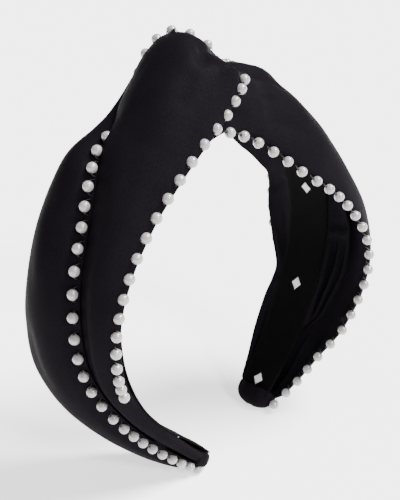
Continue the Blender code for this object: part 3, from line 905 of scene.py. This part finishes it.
def tip_cap(name, side, low, high, half, length):
    """Satin gathered over a leg's end, standing flat on the table."""
    start = LEG_LENGTH[side] / MM - length
    rings = []
    slices = 26
    around = 48
    for k in range(slices + 1):
        t = k / slices
        shrink = math.sqrt(max(1 - (TIP_CLOSING * t) ** TIP_BLUNTNESS, 0))
        ring = []
        for j in range(around):
            turn = math.tau * j / around
            y = math.copysign(abs(math.cos(turn)) ** TIP_SQUARENESS, math.cos(turn))
            y *= half * shrink
            h = math.copysign(abs(math.sin(turn)) ** TIP_SQUARENESS, math.sin(turn))
            h *= (high - low) / 2 * shrink
            gathers = math.sin(TIP_PLEATS * turn + 2 * t) * (1 - t)
            uneven = noise.noise(Vector((y / 2, h / 2, t * 3)))
            pleat = 1 + TIP_PLEAT_DEPTH * (gathers + uneven)
            point = band_point(side * (start + length * t) * MM, y * pleat * MM,
                               ((low + high) / 2 + h * pleat) * MM)
            point.z = max(point.z, TABLE_GAP)
            ring.append(point)
        rings.append(ring)
    bm = bmesh.new()
    loft(bm, rings)
    return new_object(name, bm, SATIN)


# Tips as (low, high, half width, length)
TIP_SHAPES = {-1: (-1.9, 7.8, 8.0, 9.5), 1: (-2.6, 8.6, 8.9, 8)}
for side, word in ((-1, "left"), (1, "right")):
    cap = tip_cap("satin_tip_" + word, side, *TIP_SHAPES[side])
    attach(cap, word + "_arm")
    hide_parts(word + "_tip_fold")


# ---------------------------------------------------------------- pearls

HOLE_RADIUS = 0.42 * MM         # at the pearl's surface
BORE_RADIUS = 0.3 * MM
THREAD_RADIUS = 0.22 * MM
THREAD_REACH = 1.05             # pearl radii to where the thread leaves the pearl
# Thread of one pearl as (along, up) in those radii: it dips into the satin on both sides
THREAD_PATH = ((-1.35, -0.9), (-1.22, -0.4), (-1.0, -0.05), (0, 0), (1.0, -0.05), (1.22, -0.4), (1.35, -0.9))


def circle(centre, first, second, radius, sides):
    """Points round a centre, in the plane of two unit vectors."""
    turns = [math.tau * j / sides for j in range(sides)]
    return [centre + (first * math.cos(a) + second * math.sin(a)) * radius for a in turns]


def pearl(bm, centre, along, up):
    """A drilled pearl with its hole along the row, and the thread that enters it."""
    across = along.cross(up).normalized()
    other = across.cross(along).normalized()
    hole = math.asin(HOLE_RADIUS / PEARL_RADIUS)
    sides = 24
    slices = 14
    angles = [mix(hole, math.pi - hole, k / slices) for k in range(slices + 1)]
    stations = [(-PEARL_RADIUS * math.cos(a), PEARL_RADIUS * math.sin(a)) for a in angles]
    stations += [(offset * PEARL_RADIUS, BORE_RADIUS) for offset in (0.93, 0.75, -0.75, -0.93)]
    rings = []
    for offset, radius in stations:
        points = circle(centre + along * offset, across, other, radius, sides)
        rings.append([bm.verts.new(point) for point in points])
    rings.append(rings[0])
    for number, (first, second) in enumerate(zip(rings, rings[1:])):
        for k in range(sides):
            following = (k + 1) % sides
            face = bm.faces.new((first[k], first[following], second[following], second[k]))
            face.material_index = 1 if number > slices else 0
    reach = PEARL_RADIUS * THREAD_REACH
    thread = []
    for a, b in THREAD_PATH:
        middle = centre + along * reach * a + up * reach * b
        thread.append(circle(middle, across, other, THREAD_RADIUS, 8))
    loft(bm, thread, 1)


def on_table(table):
    """A row's place as a function of s, from its table."""
    def place(s):
        return row_place(table, s)
    return place


def row_points(row, start, end, pitches):
    """Pearl centres along a row, from arc start to end in millimetres, at the pitches in a table."""
    steps = 1600
    places = []
    walked = math.inf
    previous = None
    for k in range(steps + 1):
        s = mix(start, end, k / steps) * MM
        y, h = row(s)
        place = band_point(s, y * MM, h * MM)
        if previous is not None:
            walked += (place - previous).length
        previous = place
        if walked >= smooth_value(pitches, share(s), 1) * MM:
            places.append((place, s))
            walked = 0
    return places


def pearl_row(name, row, start, end, nodes, pitches):
    """Pearls along a row. row(s) is a pearl centre's (y, h) in millimetres."""
    places = row_points(row, start, end, pitches)
    bm = bmesh.new()
    for k, (place, s) in enumerate(places):
        before = places[max(k - 1, 0)][0]
        after = places[min(k + 1, len(places) - 1)][0]
        along = (after - before).normalized()
        up = place - band_point(s, 0, 0)
        up = (up - along * up.dot(along)).normalized()
        pearl(bm, place, along, up)
    obj = new_object(name, bm, PEARL, THREAD)
    blend_half(obj)
    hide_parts(*nodes)


# Each row ends with its table of pearl pitches as (u, pitch)
pearl_row("pearls_front_left", on_table(FRONT_ROW_LEFT), -117, 4,
          ("left_front_pearls", "knot_front_pearls"),
          ((-0.62, 4.1), (-0.6, 3.9), (-0.565, 5.6), (-0.5, 6.6), (-0.43, 6.7), (-0.38, 7.2),
           (-0.2, 7.4), (-0.1, 8.1), (-0.05, 7.6), (-0.02, 5.9), (0, 5.5)))
pearl_row("pearls_back_left", hidden_row_left, -177.3, 11.5, ("left_middle_pearls", "knot_back_pearls"),
          ((-0.95, 4.2), (-0.9, 5.1), (-0.85, 5.8), (-0.78, 5.5), (-0.73, 6.3), (-0.68, 7.9), (-0.62, 7.4),
           (-0.5, 8), (-0.42, 7.9), (-0.3, 6.9), (-0.2, 6.6), (-0.15, 7.7), (-0.06, 7.9), (0, 7.4)))
pearl_row("pearls_front_right", on_table(FRONT_ROW_RIGHT), -7.5, 174,
          ("crown_front_pearls", "right_front_pearls"),
          ((0, 8.1), (0.1, 8.2), (0.16, 7.1), (0.25, 7.6), (0.34, 6.1), (0.44, 6.3), (0.55, 7),
           (0.66, 6.9), (0.8, 7.8), (0.9, 7.1), (1, 7.8)))
pearl_row("pearls_back_right", on_table(BACK_ROW_RIGHT), 12, 172,
          ("crown_back_pearls", "right_back_pearls"),
          ((0, 6), (0.12, 7.2), (1, 7.2)))

for node in ("crown_band", "left_band", "right_band"):
    for material_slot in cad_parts[node].material_slots:
        material_slot.material = PLASTIC


# ---------------------------------------------------------------- floor, light and camera

FLOOR_HALF_SIZE = 6             # metres
FLOOR_GAP = 0.02 * MM
FLOOR_GLOW = 1.3
WORLD_STRENGTH = 0.4

CAMERA_PLACE = Vector((-257.78, -233.13, 241.87)) * MM
CAMERA_TARGET = Vector((-9.32, 2.18, 86.63)) * MM
CAMERA_ROLL = -0.011
CAMERA_LENS = 72.34             # millimetres, on a sensor 36 mm wide
SENSOR_WIDTH = 36


def floor():
    """A wide pale floor that glows a little, so that it stays even."""
    bm = bmesh.new()
    bmesh.ops.create_grid(bm, x_segments=2, y_segments=2, size=FLOOR_HALF_SIZE)
    material, tree, shader = node_material("pale_floor")
    fine = noise_node(tree, stretched(tree, (1, 1, 1)), 30, 2)
    tree.links.new(colour_mix(tree, fine.outputs["Fac"], (0.85, 0.85, 0.85), (0.855, 0.855, 0.855)),
                   shader.inputs["Base Color"])
    shader.inputs["Roughness"].default_value = 0.95
    shader.inputs["Specular IOR Level"].default_value = 0.1
    shader.inputs["Emission Color"].default_value = (1, 1, 1, 1)
    shader.inputs["Emission Strength"].default_value = FLOOR_GLOW
    obj = new_object("floor", bm, material)
    obj.location.z = -FLOOR_GAP


def sun(name, come_from, angle, strength):
    """A sun lamp shining from a direction, as wide as angle in degrees."""
    light = bpy.data.lights.new(name, "SUN")
    light.angle = math.radians(angle)
    light.energy = strength
    obj = bpy.data.objects.new(name, light)
    obj.rotation_euler = (-Vector(come_from)).to_track_quat("-Z", "Y").to_euler()
    bpy.context.scene.collection.objects.link(obj)


def studio():
    """A pale world, a broad key light from above and a small one that puts a spark on the pearls."""
    world = bpy.data.worlds.new("studio")
    world.use_nodes = True
    background = world.node_tree.nodes["Background"]
    background.inputs["Color"].default_value = (1, 1, 1, 1)
    background.inputs["Strength"].default_value = WORLD_STRENGTH
    bpy.context.scene.world = world
    sun("key", (0.36, -0.3, 0.75), 28, 12)
    sun("spark", (-0.1, -0.85, 0.6), 9, 2.6)


def camera():
    data = bpy.data.cameras.new("camera")
    data.lens = CAMERA_LENS
    data.sensor_width = SENSOR_WIDTH
    data.clip_start = 0.01
    data.clip_end = 20
    obj = bpy.data.objects.new("camera", data)
    obj.location = CAMERA_PLACE
    look = (CAMERA_TARGET - CAMERA_PLACE).to_track_quat("-Z", "Y")
    obj.rotation_mode = "QUATERNION"
    obj.rotation_quaternion = look @ Quaternion((0, 0, 1), CAMERA_ROLL)
    bpy.context.scene.collection.objects.link(obj)
    bpy.context.scene.camera = obj


floor()
studio()
camera()
